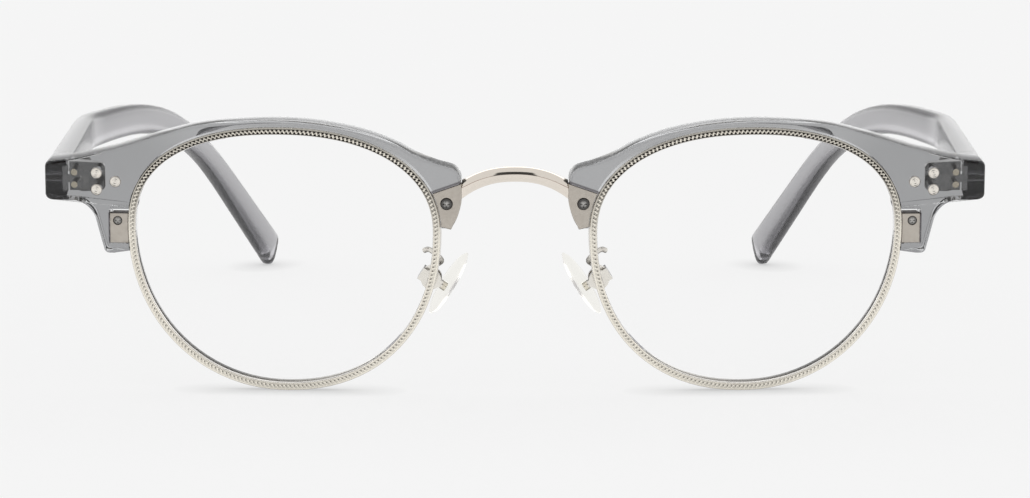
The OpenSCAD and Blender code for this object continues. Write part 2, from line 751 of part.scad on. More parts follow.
module pad_screw() {
    reach = box_gap / 2 + ear_t;
    color([0.55, 0.53, 0.5])
    front_half() {
        across(box_u, box_w, box_v - reach - 0.1, box_v + reach + 0.2, pad_pin);
        across(box_u, box_w, box_v + reach + 0.03, box_v + reach + 0.4, 0.9);
    }
}

// Metal lug that rocks between the box's ears and carries the pad
module pad_lug() {
    lug_t = box_gap - 2 * run;
    color([0.8, 0.79, 0.77])
    front_half()
    rotate_box()
    difference() {
        union() {
            rotate([90, 0, 0]) cylinder(h = lug_t, r = 1.05, center = true);
            translate([-pad_off + 0.5, -lug_t / 2, -0.6]) cube([pad_off - 0.5, lug_t, 1.2]);
            translate([-pad_off - 0.15, 0, 0]) rotate([0, 90, 0]) cylinder(h = 0.95, r = 0.7);
        }
        rotate([90, 0, 0]) cylinder(h = 4, r = pad_pin + run, center = true);
    }
}

// Clear pad: an egg-shaped lens, fuller at its lower end, with a blind hole for the lug
module nose_pad() {
    rows = [for (i = [0:10])
        let (t = -0.985 + 1.97 * i / 10, c = sqrt(1 - t * t))
        let (wide = pad_w / 2 * (1 - 0.14 * t))
        [for (k = [0:22.5:337.5])
            [pad_t / 2 * c * cos(k), wide * c * sin(k), pad_len / 2 * t]]];
    color([0.93, 0.93, 0.9, 0.5])
    front_half()
    rotate_box()
    difference() {
        translate([-pad_off, 0, pad_up]) rotate([0, 0, -pad_splay]) skin(rows);
        translate([-pad_off - 0.2, 0, 0]) rotate([0, 90, 0]) cylinder(h = 4, r = 0.7 + fit);
    }
}

module mirrored() {
    mirror([1, 0, 0]) children();
}

brow();  // brow_left
mirrored() brow();  // brow_right
eyewire();  // eyewire_left
mirrored() eyewire();  // eyewire_right
beaded_trim();  // beaded_trim_left
mirrored() beaded_trim();  // beaded_trim_right
lens();  // lens_left
mirrored() lens();  // lens_right
closing_tab();  // closing_tab_left
mirrored() closing_tab();  // closing_tab_right
closing_block();  // closing_block_left
mirrored() closing_block();  // closing_block_right
closing_screw();  // closing_screw_left
mirrored() closing_screw();  // closing_screw_right
bridge();
bridge_plate();  // bridge_plate_left
mirrored() bridge_plate();  // bridge_plate_right
bridge_screw();  // bridge_screw_left
mirrored() bridge_screw();  // bridge_screw_right
front_hinge();  // front_hinge_left
mirrored() front_hinge();  // front_hinge_right
hinge_rivets();  // hinge_rivets_left
mirrored() hinge_rivets();  // hinge_rivets_right
anchor_pins();  // anchor_pins_left
mirrored() anchor_pins();  // anchor_pins_right
brow_rivet();  // brow_rivet_left
mirrored() brow_rivet();  // brow_rivet_right
hinge_screw();  // hinge_screw_left
mirrored() hinge_screw();  // hinge_screw_right
pad_arm();  // pad_arm_left
mirrored() pad_arm();  // pad_arm_right
pad_screw();  // pad_screw_left
mirrored() pad_screw();  // pad_screw_right
nose_pad();  // nose_pad_left
mirrored() nose_pad();  // nose_pad_right
pad_lug();  // pad_lug_left
mirrored() pad_lug();  // pad_lug_right
temple();  // temple_left
mirrored() temple();  // temple_right
temple_hinge();  // temple_hinge_left
mirrored() temple_hinge();  // temple_hinge_right
temple_rivets();  // temple_rivets_left
mirrored() temple_rivets();  // temple_rivets_right
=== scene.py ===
"""Looks for the browline glasses: see-through grey acetate, beaded warm-silver eyewires and clear pads.

Metres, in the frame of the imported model: +Z up, the front faces -Y, the wearer's left is at +X.
Each half of the front is described flat, in millimetres, as u outward, v back and w up, and is then
wrapped and leaned into place. The right half mirrors the left.
"""
import math

import bpy
import numpy as np
from mathutils import Matrix, Vector

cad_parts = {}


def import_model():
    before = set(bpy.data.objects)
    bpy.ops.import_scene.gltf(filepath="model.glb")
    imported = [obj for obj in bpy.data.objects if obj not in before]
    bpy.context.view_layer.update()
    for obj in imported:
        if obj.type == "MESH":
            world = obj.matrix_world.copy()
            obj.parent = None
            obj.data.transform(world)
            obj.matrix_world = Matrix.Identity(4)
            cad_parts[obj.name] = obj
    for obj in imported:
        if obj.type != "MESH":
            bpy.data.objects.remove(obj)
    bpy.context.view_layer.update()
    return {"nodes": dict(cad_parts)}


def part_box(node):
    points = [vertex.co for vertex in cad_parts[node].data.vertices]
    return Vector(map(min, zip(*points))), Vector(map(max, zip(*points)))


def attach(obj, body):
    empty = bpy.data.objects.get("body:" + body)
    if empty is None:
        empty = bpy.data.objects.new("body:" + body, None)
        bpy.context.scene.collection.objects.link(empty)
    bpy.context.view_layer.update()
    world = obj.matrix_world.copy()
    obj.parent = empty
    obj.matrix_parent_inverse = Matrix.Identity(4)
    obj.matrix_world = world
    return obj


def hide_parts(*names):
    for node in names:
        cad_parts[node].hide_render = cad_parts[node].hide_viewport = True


MM = 0.001
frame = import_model()
nodes = frame["nodes"]
scene = bpy.context.scene
scene.view_settings.view_transform = "Standard"
scene.cycles.max_bounces = 24
scene.cycles.transmission_bounces = 24
scene.cycles.glossy_bounces = 8

# The same sizes as the part's source, in millimetres
LENS_U, LEVEL = 35.35, 25.5
OPENING_W, OPENING_UP, OPENING_DOWN = 45.6, 14.9, 24.3
FULL_UP_OUT, FULL_UP_IN, FULL_DOWN_OUT, FULL_DOWN_IN = 2.4, 2.2, 2.05, 2.2
WIRE_W, WIRE_T, WIRE_EDGE = 1.2, 2.0, 0.1
LEAN, WRAP = math.radians(7.0), math.radians(4.0)
LIFT = -(LENS_U * math.sin(WRAP) + WIRE_EDGE) * math.sin(LEAN)
BEADS, BEAD_H = 220, 0.22
# Upper edge of the bridge plate, from its end at the lens to its end at the bridge
PLATE_IN, PLATE_OUT = (12.6, 0.0, 31.6), (8.2, 0.0, 33.25)


def outline_radius(a):
    """Radius of the lens opening at an angle from its middle, counted from the outer side."""
    c, s = math.cos(a), math.sin(a)
    reach = OPENING_UP if s >= 0 else OPENING_DOWN
    if s >= 0:
        full = FULL_UP_OUT if c >= 0 else FULL_UP_IN
    else:
        full = FULL_DOWN_OUT if c >= 0 else FULL_DOWN_IN
    return ((abs(c) * 2 / OPENING_W) ** full + (abs(s) / reach) ** full) ** (-1 / full)


def rim_point(a, grow):
    """A point of the flat half at an angle round the lens, so far outside its opening."""
    r = outline_radius(a) + grow
    return LENS_U + r * math.cos(a), LEVEL + r * math.sin(a)


def even_angles(n):
    """Angles of n equal steps along the middle of the eyewire."""
    fine = np.linspace(0, 2 * math.pi, 3601)
    pts = np.array([rim_point(a, WIRE_W / 2) for a in fine])
    run = np.concatenate([[0], np.cumsum(np.linalg.norm(np.diff(pts, axis=0), axis=1))])
    return np.interp(np.arange(n) * run[-1] / n, run, fine)


# The wrap and lean of a half of the front, its three directions, and its shift along Y, which is
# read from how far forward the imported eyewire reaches
flat = Matrix.Rotation(LEAN, 4, "X") @ Matrix.Rotation(WRAP, 4, "Z")
OUTWARD, BACKWARD, UPWARD = (flat @ Vector(axis) for axis in ((1, 0, 0), (0, 1, 0), (0, 0, 1)))


def wire_front(a):
    """Y of the eyewire's front face at an angle, before the shift."""
    u, w = rim_point(a, WIRE_W - WIRE_EDGE)
    return (flat @ Vector((u, 0, w)))[1]


wire_low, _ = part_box("eyewire_left")
SHIFT_Y = wire_low[1] / MM - min(wire_front(a) for a in np.linspace(0, 2 * math.pi, 721))


def front_point(u, v, w, side):
    """A point of the flat half, in millimetres, as a place in the model."""
    p = flat @ Vector((u, v, w))
    return Vector((side * p[0], p[1] + SHIFT_Y, p[2] + LIFT)) * MM


def flat_points(name):
    """The vertices of a node on the left as points of the flat half, in millimetres."""
    pts = []
    for v in nodes[name].data.vertices:
        p = nodes[name].matrix_world @ v.co / MM
        pts.append(flat.inverted() @ Vector((p[0], p[1] - SHIFT_Y, p[2] - LIFT)))
    return pts


def new_object(name, verts, faces):
    mesh = bpy.data.meshes.new(name)
    mesh.from_pydata([tuple(v) for v in verts], [], faces)
    mesh.validate()
    mesh.update()
    for p in mesh.polygons:
        p.use_smooth = True
    obj = bpy.data.objects.new(name, mesh)
    scene.collection.objects.link(obj)
    return obj


# Camera at the photograph's angle: millimetres from the glasses, metres up, degrees down
CAMERA_AWAY, CAMERA_UP, CAMERA_DOWN = 800.0, 0.135, 8.021
cam_data = bpy.data.cameras.new("camera")
cam_data.sensor_width = 36.0
cam_data.lens = 184.8
cam_data.clip_start = 0.05
cam_data.clip_end = 60.0
camera = bpy.data.objects.new("camera", cam_data)
camera.location = (0.0, (SHIFT_Y - CAMERA_AWAY) * MM, CAMERA_UP)
camera.rotation_euler = (math.radians(90 - CAMERA_DOWN), 0.0, 0.0)
scene.collection.objects.link(camera)
scene.camera = camera

# Smoothing of the CAD nodes: seams closed up to a distance in metres, edges kept above an angle
SEAM = 2e-6
SMOOTH_ANGLE = math.radians(33)


def smoothing_group(angle):
    """Geometry nodes that close the seams of a CAD mesh and shade it smooth up to an angle."""
    group = bpy.data.node_groups.new("smooth_to_%d" % round(math.degrees(angle)), "GeometryNodeTree")
    group.interface.new_socket("Geometry", in_out="INPUT", socket_type="NodeSocketGeometry")
    group.interface.new_socket("Geometry", in_out="OUTPUT", socket_type="NodeSocketGeometry")
    start = group.nodes.new("NodeGroupInput")
    end = group.nodes.new("NodeGroupOutput")
    merge = group.nodes.new("GeometryNodeMergeByDistance")
    merge.inputs["Distance"].default_value = SEAM
    faces = group.nodes.new("GeometryNodeSetShadeSmooth")
    faces.domain = "FACE"
    edges = group.nodes.new("GeometryNodeSetShadeSmooth")
    edges.domain = "EDGE"
    edges.inputs["Shade Smooth"].default_value = False
    edge_angle = group.nodes.new("GeometryNodeInputMeshEdgeAngle")
    above = group.nodes.new("FunctionNodeCompare")
    above.operation = "GREATER_THAN"
    above.inputs["B"].default_value = angle
    group.links.new(edge_angle.outputs["Unsigned Angle"], above.inputs["A"])
    group.links.new(above.outputs["Result"], edges.inputs["Selection"])
    group.links.new(start.outputs[0], merge.inputs["Geometry"])
    group.links.new(merge.outputs[0], faces.inputs["Geometry"])
    group.links.new(faces.outputs[0], edges.inputs["Geometry"])
    group.links.new(edges.outputs[0], end.inputs[0])
    return group


SMOOTH = smoothing_group(SMOOTH_ANGLE)


def smooth_node(obj, edge, rounded):
    """Smooth shading for a CAD node. A node that isn't rounded all over gets even faces, and a
    polished edge of a width in millimetres."""
    obj.modifiers.new("smooth", "NODES").node_group = SMOOTH
    if rounded:
        return
    if edge:
        flat_faces = obj.modifiers.new("whole_faces", "DECIMATE")
        flat_faces.decimate_type = "DISSOLVE"
        flat_faces.angle_limit = math.radians(2)
        bevel = obj.modifiers.new("polished_edge", "BEVEL")
        bevel.width = edge * MM
        bevel.segments = 3
        bevel.limit_method = "ANGLE"
        bevel.angle_limit = math.radians(40)
        bevel.harden_normals = True
    weighted = obj.modifiers.new("even_faces", "WEIGHTED_NORMAL")
    weighted.mode = "FACE_AREA_WITH_ANGLE"
    weighted.weight = 80
    weighted.keep_sharp = True


# Node helpers
def material(name):
    mat = bpy.data.materials.new(name)
    mat.use_nodes = True
    tree = mat.node_tree
    tree.nodes.clear()
    out = tree.nodes.new("ShaderNodeOutputMaterial")
    bsdf = tree.nodes.new("ShaderNodeBsdfPrincipled")
    tree.links.new(bsdf.outputs["BSDF"], out.inputs["Surface"])
    return mat, tree, bsdf, out


def node(tree, kind, **settings):
    """A new node, with its sockets and its settings given by name."""
    n = tree.nodes.new(kind)
    for key, value in settings.items():
        if key in n.inputs:
            n.inputs[key].default_value = value
        else:
            setattr(n, key, value)
    return n


def vector_math(tree, operation, *values):
    n = node(tree, "ShaderNodeVectorMath", operation=operation)
    for k, value in enumerate(values):
        if isinstance(value, Vector):
            n.inputs[k].default_value = value
        else:
            tree.links.new(value, n.inputs[k])
    return n.outputs["Value"] if operation in ("DISTANCE", "DOT_PRODUCT") else n.outputs[0]


def number(tree, operation, *values):
    n = node(tree, "ShaderNodeMath", operation=operation)
    for k, value in enumerate(values):
        if isinstance(value, (int, float)):
            n.inputs[k].default_value = value
        else:
            tree.links.new(value, n.inputs[k])
    return n.outputs[0]


def product(tree, first, *others):
    """Amounts from 0 to 1 multiplied together."""
    for other in others:
        first = number(tree, "MULTIPLY", first, other)
    return first


def between(tree, value, low, high, kind="LINEAR"):
    """From 0 at one level to 1 at another, which may be the lower of the two."""
    n = node(tree, "ShaderNodeMapRange", interpolation_type=kind)
    n.inputs["From Min"].default_value = low
    n.inputs["From Max"].default_value = high
    tree.links.new(value, n.inputs["Value"])
    return n.outputs["Result"]


def spread(tree, value, low, high):
    """From one level to another as a value goes from 0 to 1."""
    n = node(tree, "ShaderNodeMapRange")
    n.inputs["To Min"].default_value = low
    n.inputs["To Max"].default_value = high
    tree.links.new(value, n.inputs["Value"])
    return n.outputs["Result"]


def mix_colour(tree, amount, colour, other):
    """A colour, written or linked, drawn toward another by an amount from 0 to 1."""
    n = node(tree, "ShaderNodeMix", data_type="RGBA")
    if isinstance(colour, tuple):
        n.inputs[6].default_value = (*colour, 1)
    else:
        tree.links.new(colour, n.inputs[6])
    n.inputs[7].default_value = (*other, 1)
    tree.links.new(amount, n.inputs[0])
    return n.outputs[2]


def split(tree, vector):
    """The X, Y and Z of a vector."""
    parts = node(tree, "ShaderNodeSeparateXYZ")
    tree.links.new(vector, parts.inputs[0])
    return parts.outputs["X"], parts.outputs["Y"], parts.outputs["Z"]


def noise_ramp(tree, scale, low_in, high_in, detail=4.0, stretch=None):
    """Noise in object space, spread from 0 to 1 between two levels."""
    source = node(tree, "ShaderNodeTexCoord").outputs["Object"]
    if stretch:
        mapping = node(tree, "ShaderNodeMapping", Scale=stretch)
        tree.links.new(source, mapping.inputs["Vector"])
        source = mapping.outputs["Vector"]
    noise = node(tree, "ShaderNodeTexNoise", Scale=scale, Detail=detail)
    tree.links.new(source, noise.inputs["Vector"])
    return between(tree, noise.outputs["Fac"], low_in, high_in)


def on_left(tree, output):
    """A place or a normal in object space, with the right half mirrored to the left."""
    coord = node(tree, "ShaderNodeTexCoord")
    side = number(tree, "SIGN", split(tree, coord.outputs["Object"])[0])
    x, y, z = split(tree, coord.outputs[output])
    whole = node(tree, "ShaderNodeCombineXYZ")
    tree.links.new(number(tree, "MULTIPLY", x, side), whole.inputs["X"])
    tree.links.new(y, whole.inputs["Y"])
    tree.links.new(z, whole.inputs["Z"])
    return whole.outputs[0]


def length_along(tree, step, direction):
    """How far a step in metres goes along a direction, in millimetres."""
    return number(tree, "MULTIPLY", vector_math(tree, "DOT_PRODUCT", step, direction), 1 / MM)


# Places on the nodes where the materials paint shade. A pair is a soft edge, from the level with no
# shade to the level with the whole of it, in millimetres unless said otherwise.
HEAD_DEPTH = 0.1
RIVET_RIM, SCREW_RIM = (0.68, 0.9), (0.25, 0.62)
# By the share of a face's direction that goes up or down, or to the front, and by the eye's angle
SLOPED, TURNED, GRAZING = (0.25, 0.5), (0.97, 0.75), (0.2, 0.7)
# Painted shade on the eyewire's wall, by directions: how squarely it faces the lens, and its fading toward
# the nose down to a share. WALL_REAR is in metres behind the middle of the wire's depth.
WALL_FACING, WALL_FADING, NOSE_SHARE = (-0.4, -0.75), (-0.45, 0.35), 0.2
WALL_REAR = (-0.0003, 0.0)
# Painted shade on the bevel over the bridge plate: above the plate's edge, back from it and off from its
# middle
BEVEL_FROM, BEVEL_TO, BEVEL_DEPTH, BEVEL_REACH = (-0.02, 0.08), (0.52, 0.36), (0.9, 0.6), (3.2, 2.8)
# Painted shadow in the pocket round the closing tab: beyond the tab's corner, back from it, below it and at
# its inner end
POCKET_FROM, POCKET_TO, POCKET_DEPTH = (-0.1, 0.0), (0.22, 0.14), (1.2, 1.0)
POCKET_FOOT, POCKET_INNER = (-4.8, -4.6), (-0.3, -0.1)
# Painted shade on the dropped part of a temple, in metres back from the middle of the glasses
DROP = (0.02, 0.055)


def middle_of(pts):
    """The middle of the box round some points."""
    return [(min(p[k] for p in pts) + max(p[k] for p in pts)) / 2 for k in (0, 1, 2)]


def head_middles(name, count):
    """Middles of the one or two round heads at the front of a node on the left."""
    pts = flat_points(name)
    front = min(p[1] for p in pts)
    face = [p for p in pts if p[1] < front + HEAD_DEPTH]
    if count == 1:
        return [front_point(*middle_of(face), 1)]
    level = middle_of(face)[2]
    heads = ([p for p in face if p[2] < level], [p for p in face if p[2] >= level])
    return [front_point(*middle_of(head), 1) for head in heads]


RIVETS = head_middles("hinge_rivets_left", 2) + head_middles("brow_rivet_left", 1)
SCREWS = head_middles("bridge_screw_left", 1) + head_middles("closing_screw_left", 1)


def from_middle(tree, middles):
    """Distance in millimetres to the nearest of some places on the left half."""
    place = on_left(tree, "Object")
    nearest = vector_math(tree, "DISTANCE", place, middles[0])
    for middle in middles[1:]:
        nearest = number(tree, "MINIMUM", nearest, vector_math(tree, "DISTANCE", place, middle))
    return number(tree, "MULTIPLY", nearest, 1 / MM)


def rivet_rim_shadow(tree):
    """1 at the rims of the rivet heads, where a shadow is painted."""
    return between(tree, from_middle(tree, RIVETS), *RIVET_RIM)


def screw_rim_shade(tree):
    """1 at the rims of the screw heads, where shade is painted."""
    return between(tree, from_middle(tree, SCREWS), *SCREW_RIM)


def sloped_painted_reflection(tree):
    """1 on faces that look up or down, where a dark reflection is painted on the plates' edges."""
    _, _, up = split(tree, node(tree, "ShaderNodeTexCoord").outputs["Normal"])
    return between(tree, number(tree, "ABSOLUTE", up), *SLOPED)


def turned_away_shade(tree):
    """1 on faces that don't look straight to the front, where a shadow is painted round the closing tab's
    edges.
    """
    forward = vector_math(tree, "DOT_PRODUCT", on_left(tree, "Normal"), -BACKWARD)
    return between(tree, forward, *TURNED)


def grazing_painted_reflection(tree):
    """1 where a surface turns away from the eye, where a dark reflection is painted on the pad wires."""
    weight = node(tree, "ShaderNodeLayerWeight", Blend=0.5)
    return between(tree, weight.outputs["Facing"], *GRAZING)


def lens_wall_shade(tree):
    """Painted shade: 1 on the rear half of the eyewire's wall round the lens, less toward the nose."""
    middle = front_point(LENS_U, WIRE_T / 2, LEVEL, 1)
    step = vector_math(tree, "SUBTRACT", on_left(tree, "Object"), middle)
    away = vector_math(tree, "NORMALIZE", step)
    facing = vector_math(tree, "DOT_PRODUCT", away, on_left(tree, "Normal"))
    facing_lens = between(tree, facing, *WALL_FACING)
    rear = between(tree, vector_math(tree, "DOT_PRODUCT", step, BACKWARD), *WALL_REAR)
    temple_side = between(tree, vector_math(tree, "DOT_PRODUCT", away, OUTWARD), *WALL_FADING)
    share = number(tree, "ADD", NOSE_SHARE, number(tree, "MULTIPLY", temple_side, 1 - NOSE_SHARE))
    return product(tree, facing_lens, rear, share)


def plate_bevel(tree):
    """1 where shade is painted on the bevel of the brow along the upper edge of the bridge plate."""
    inner, outer = front_point(*PLATE_IN, 1), front_point(*PLATE_OUT, 1)
    upward = BACKWARD.cross((inner - outer).normalized()).normalized()
    upward = upward if upward[2] > 0 else -upward
    place = on_left(tree, "Object")
    step = vector_math(tree, "SUBTRACT", place, outer)
    rise = length_along(tree, step, upward)
    depth = length_along(tree, step, BACKWARD)
    middle = vector_math(tree, "DISTANCE", place, (inner + outer) / 2)
    reach = number(tree, "MULTIPLY", middle, 1 / MM)
    return product(
        tree, between(tree, rise, *BEVEL_FROM), between(tree, rise, *BEVEL_TO),
        between(tree, depth, *BEVEL_DEPTH), between(tree, reach, *BEVEL_REACH),
    )


def tab_pocket(tree):
    """1 where a shadow is painted on the edge of the brow's pocket above and outside the closing tab."""
    pts = flat_points("closing_tab_left")
    inner, outer = min(p[0] for p in pts), max(p[0] for p in pts)
    corner = front_point(outer, min(p[1] for p in pts), max(p[2] for p in pts), 1)
    step = vector_math(tree, "SUBTRACT", on_left(tree, "Object"), corner)
    across, depth, up = (length_along(tree, step, axis) for axis in (OUTWARD, BACKWARD, UPWARD))
    beyond = number(tree, "MAXIMUM", across, up)
    inner_end = (inner - outer + level for level in POCKET_INNER)
    return product(
        tree, between(tree, beyond, *POCKET_FROM), between(tree, beyond, *POCKET_TO),
        between(tree, depth, *POCKET_DEPTH), between(tree, up, *POCKET_FOOT),
        between(tree, across, *inner_end),
    )


def cut_edge_shade(tree):
    """Painted shade: 1 on the edges of the brow next to its plates."""
    return number(tree, "MAXIMUM", plate_bevel(tree), tab_pocket(tree))


def drop_shade(tree):
    """Painted shade: 1 on the dropped part of a temple, where the tint is darkened as it is seen through
    more acetate.
    """
    _, back, _ = split(tree, node(tree, "ShaderNodeTexCoord").outputs["Object"])
    return between(tree, back, *DROP)


# Plated metal: size and tone of its patches, spread of its gloss, and how much of the metal look a
# part under painted shade loses
PATCH_SIZE, PATCH_TONE, GLOSS_SPREAD, SHADE_MATTE = 0.12, 0.93, 1.45, 0.75
# Depth of the grain in metres, and turned rings: pitch in millimetres and depth in metres
GRAIN_DEPTH, RING_PITCH, RING_DEPTH = 0.0001, 0.3, 0.00003


def metal(name, colour, rough, grain, bump=0.02, shade=None, shade_colour=None, turned=None):
    """Plated metal: uneven colour and gloss, a fine grain, painted shade on a part if one is given, and
    turned rings.
    """
    mat, tree, bsdf, _ = material(name)
    bsdf.inputs["Metallic"].default_value = 1.0
    patchy = noise_ramp(tree, grain * PATCH_SIZE, 0.35, 0.65)
    fine = noise_ramp(tree, grain, 0.3, 0.7, detail=6.0)
    plating = mix_colour(tree, patchy, colour, tuple(c * PATCH_TONE for c in colour))
    # Painted shade: the shaded part is drawn toward a darker colour and made less metallic
    if shade:
        amount = shade(tree)
        lost = number(tree, "MULTIPLY", amount, SHADE_MATTE)
        tree.links.new(number(tree, "SUBTRACT", 1.0, lost), bsdf.inputs["Metallic"])
        plating = mix_colour(tree, amount, plating, shade_colour)
    tree.links.new(plating, bsdf.inputs["Base Color"])
    tree.links.new(spread(tree, fine, rough, rough * GLOSS_SPREAD), bsdf.inputs["Roughness"])
    relief = node(tree, "ShaderNodeBump", Strength=bump, Distance=GRAIN_DEPTH)
    tree.links.new(fine, relief.inputs["Height"])
    if turned:
        turns = number(tree, "MULTIPLY", from_middle(tree, turned), 2 * math.pi / RING_PITCH)
        cut = node(tree, "ShaderNodeBump", Strength=0.8, Distance=RING_DEPTH)
        tree.links.new(number(tree, "SINE", turns), cut.inputs["Height"])
        tree.links.new(cut.outputs["Normal"], relief.inputs["Normal"])
    tree.links.new(relief.outputs["Normal"], bsdf.inputs["Normal"])
    return mat


def clear(name, tint, rough, ior, absorb=None, density=0.0, cloud=0.0, shade=None, shade_colour=None):
    """Polished see-through plastic, with faint streaks in its surface and painted shade on a part if one is
    given.
    """
    mat, tree, bsdf, out = material(name)
    streak = noise_ramp(tree, 60.0, 0.3, 0.7, detail=3.0, stretch=(1.0, 0.35, 1.0))
    body = mix_colour(tree, streak, tint, tuple(c * (1 - cloud) for c in tint))
    # Painted shade: the shaded part is drawn toward a darker tint
    if shade:
        body = mix_colour(tree, shade(tree), body, shade_colour)
    tree.links.new(body, bsdf.inputs["Base Color"])
    bsdf.inputs["Transmission Weight"].default_value = 1.0
    bsdf.inputs["IOR"].default_value = ior
    bsdf.inputs["Roughness"].default_value = rough
    if absorb:
        volume = node(tree, "ShaderNodeVolumeAbsorption", Density=density)
        volume.inputs["Color"].default_value = (*absorb, 1)
        tree.links.new(volume.outputs["Volume"], out.inputs["Volume"])
    return mat


def bead_plating_and_shade():
    """Metal of the beads, from nearly black in their hollows to pale on top, with a worn gloss. The dark of
    the hollows, specks and upper half is painted shade.
    """
    mat, tree, bsdf, _ = material("bead_champagne")
    lightness = node(tree, "ShaderNodeAttribute", attribute_name="lightness")
    shade = mix_colour(tree, lightness.outputs["Fac"], (0.01, 0.007, 0.006), (1.0, 0.95, 0.84))
    tree.links.new(shade, bsdf.inputs["Base Color"])
    bsdf.inputs["Metallic"].default_value = 0.88
    worn = noise_ramp(tree, 1400.0, 0.3, 0.7)
    tree.links.new(spread(tree, worn, 0.2, 0.34), bsdf.inputs["Roughness"])
    return mat


# Acetate, lenses and pads
# The brow's acetate is drawn toward a dark tint at its edges by the plates: painted shade and shadow
acetate = clear("acetate_grey", (0.965, 0.965, 0.965), 0.015, 1.48, absorb=(0.46, 0.465, 0.475),
                density=420.0, cloud=0.03, shade=cut_edge_shade, shade_colour=(0.12, 0.105, 0.115))
# The temples' acetate gets a darker tint on their dropped part: painted shade
acetate_arm = clear("acetate_grey_arm", (0.985, 0.98, 0.985), 0.17, 1.48,
                    absorb=(0.46, 0.455, 0.475), density=340.0, cloud=0.03,
                    shade=drop_shade, shade_colour=(0.74, 0.735, 0.75))
lens_clear = clear("lens_clear", (1.0, 1.0, 1.0), 0.0, 1.01, cloud=0.004)
pad_clear = clear("pad_clear", (0.97, 0.958, 0.915), 0.12, 1.035, cloud=0.02)

# Metals
SATIN_BEIGE = (0.6, 0.555, 0.495)
# The closing tab's edges and sides are painted dark: a painted shadow from its pocket
tab_satin = metal("satin_beige_tab", SATIN_BEIGE, 0.36, 1600.0, bump=0.05,
                  shade=turned_away_shade, shade_colour=(0.09, 0.065, 0.055))
# The plates' and closing block's faces that look up or down get a painted dark reflection
satin = metal("satin_beige", SATIN_BEIGE, 0.36, 1600.0, bump=0.05,
              shade=sloped_painted_reflection, shade_colour=(0.07, 0.05, 0.045))
# The eyewire's wall round the lens is painted dark: painted shade
wire_metal = metal("eyewire_warm_silver", (0.78, 0.75, 0.7), 0.2, 900.0,
                   shade=lens_wall_shade, shade_colour=(0.15, 0.145, 0.14))
bar = metal("bar_polished", (0.83, 0.765, 0.685), 0.07, 700.0, bump=0.01)
# The pad wires are painted dark where they turn from the eye: painted dark reflection
pad_wire = metal("pad_wire", (0.84, 0.81, 0.75), 0.1, 900.0,
                 shade=grazing_painted_reflection, shade_colour=(0.1, 0.09, 0.08))
hinge_metal = metal("hinge_plain", (0.87, 0.86, 0.84), 0.1, 1200.0)
# The rims of the rivet heads are painted darker: painted shadow round each head
rivet_metal = metal("rivet_turned", (0.9, 0.86, 0.79), 0.2, 1500.0, bump=0.05, turned=RIVETS,
                    shade=rivet_rim_shadow, shade_colour=(0.34, 0.31, 0.28))
# The screw heads are painted dark toward their rims: painted shade
screw_metal = metal("screw_head", (0.5, 0.49, 0.47), 0.2, 1500.0,
                    shade=screw_rim_shade, shade_colour=(0.07, 0.066, 0.062))
screw_dark = metal("screw_dark", (0.3, 0.29, 0.28), 0.28, 1500.0)
brass = metal("pin_brass", (0.97, 0.87, 0.68), 0.2, 1200.0)
bead_metal = bead_plating_and_shade()

# Each kind of node: its material, the width of its polished edge in millimetres, and whether it is
# rounded all over
FINISH = {
    "brow": acetate, "temple": acetate_arm, "eyewire": wire_metal, "beaded_trim": wire_metal,
    "lens": lens_clear, "closing_tab": tab_satin, "closing_block": satin, "closing_screw": screw_metal,
    "bridge": bar, "bridge_plate": satin, "bridge_screw": screw_metal,
    "front_hinge": hinge_metal, "temple_hinge": hinge_metal,
    "hinge_rivets": rivet_metal, "brow_rivet": rivet_metal, "temple_rivets": rivet_metal,
    "anchor_pins": brass, "hinge_screw": screw_dark, "pad_arm": pad_wire, "pad_screw": screw_dark,
    "pad_lug": pad_wire, "nose_pad": pad_clear,
}
POLISHED_EDGE = {
    "bridge_plate": 0.2, "closing_tab": 0.2, "closing_block": 0.1, "hinge_rivets": 0.16,
    "brow_rivet": 0.16, "temple_rivets": 0.14, "bridge_screw": 0.05, "closing_screw": 0.05,
    "front_hinge": 0.08, "temple_hinge": 0.08, "hinge_screw": 0.06, "pad_lug": 0.1, "pad_screw": 0.1,
}
ROUNDED = ("brow", "temple", "nose_pad")
for name, obj in nodes.items():
    base = name.replace("_left", "").replace("_right", "")
    obj.data.materials.clear()
    obj.data.materials.append(FINISH[base])
    smooth_node(obj, POLISHED_EDGE.get(base, 0.0), base in ROUNDED)

# Beaded trim: a zig-zag ridge inside a plain lip. A place on it is a phase, which counts beads, and
# t, which runs from 0 at the lens to 1 at the outer edge. The trim lies TRIM_SIDE inside the edges of
# the eyewire, which leaves it 1 mm wide, and the lip starts at PATTERN_W.
TRIM_SIDE, PATTERN_W = 0.1, 0.84
PER_BEAD, ACROSS = 12, 15
BEAD_PITCH = 0.61
# Strokes of one bead: start and end as phase and share of the pattern's width, then half their own
# width in millimetres
BROAD_STROKE = ((0.0, 0.74), (0.36, 0.3), 0.12)
FINE_STROKE = ((0.36, 0.3), (1.0, 0.74), 0.07)
SPECK = ((0.84, 0.5), (0.96, 0.38), 0.1)
# Shares: the fine stroke's of a bead, and the lightness a speck takes as painted shade where the hollows
# are bright
FINE_HEIGHT, SPECK_SHADE = 0.7, 0.7
# Plain borders inside and outside the strokes, and lightness of the hollows there and between, painted as
# shade
BORDER_IN, BORDER_OUT = 0.1, 0.08
BORDER_LIGHT, HOLLOW_LIGHT = 0.95, 0.7
# Lightness of the lip, what it loses to painted shade round the upper half, and the heights of the lip
# and of the hollows as shares of a bead's
LIP_LIGHT, LIP_SHADE, LIP_HEIGHT, HOLLOW_HEIGHT = 0.97, 0.4, 0.55, 0.3
# The lower half has only a share of this relief, on a raised ground, so that it stays as bright as in
# the photograph
LOWER_RELIEF, LOWER_GROUND = 0.25, 0.6
